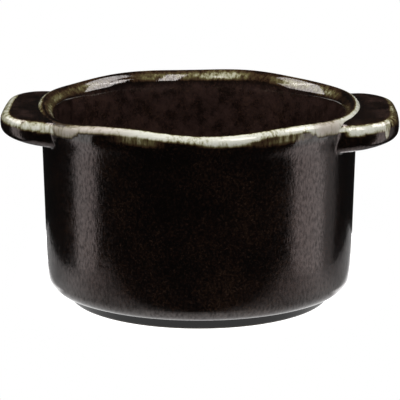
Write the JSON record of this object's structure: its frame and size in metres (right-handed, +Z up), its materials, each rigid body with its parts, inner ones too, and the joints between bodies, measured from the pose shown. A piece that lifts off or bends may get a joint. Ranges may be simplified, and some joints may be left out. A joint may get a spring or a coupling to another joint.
{
  "type": "ramekin",
  "caption": "Round glazed stoneware ramekin with a thick uneven lip, a foot ring and a flat slab handle on each side, for baking and serving one portion.",
  "frame": {"origin": "on the table, under the middle of the foot ring", "axes": "+Z up through the mouth, handles along X, front towards -Y"},
  "size_m": [0.1268, 0.1032, 0.0644],
  "materials": {
    "dark_glaze": "satin",
    "foot_clay": "satin"
  },
  "bodies": {
    "root": {"cup_body": "dark_glaze", "left_handle": "dark_glaze", "right_handle": "dark_glaze", "foot_ring": "foot_clay"}
  },
  "joints": []
}
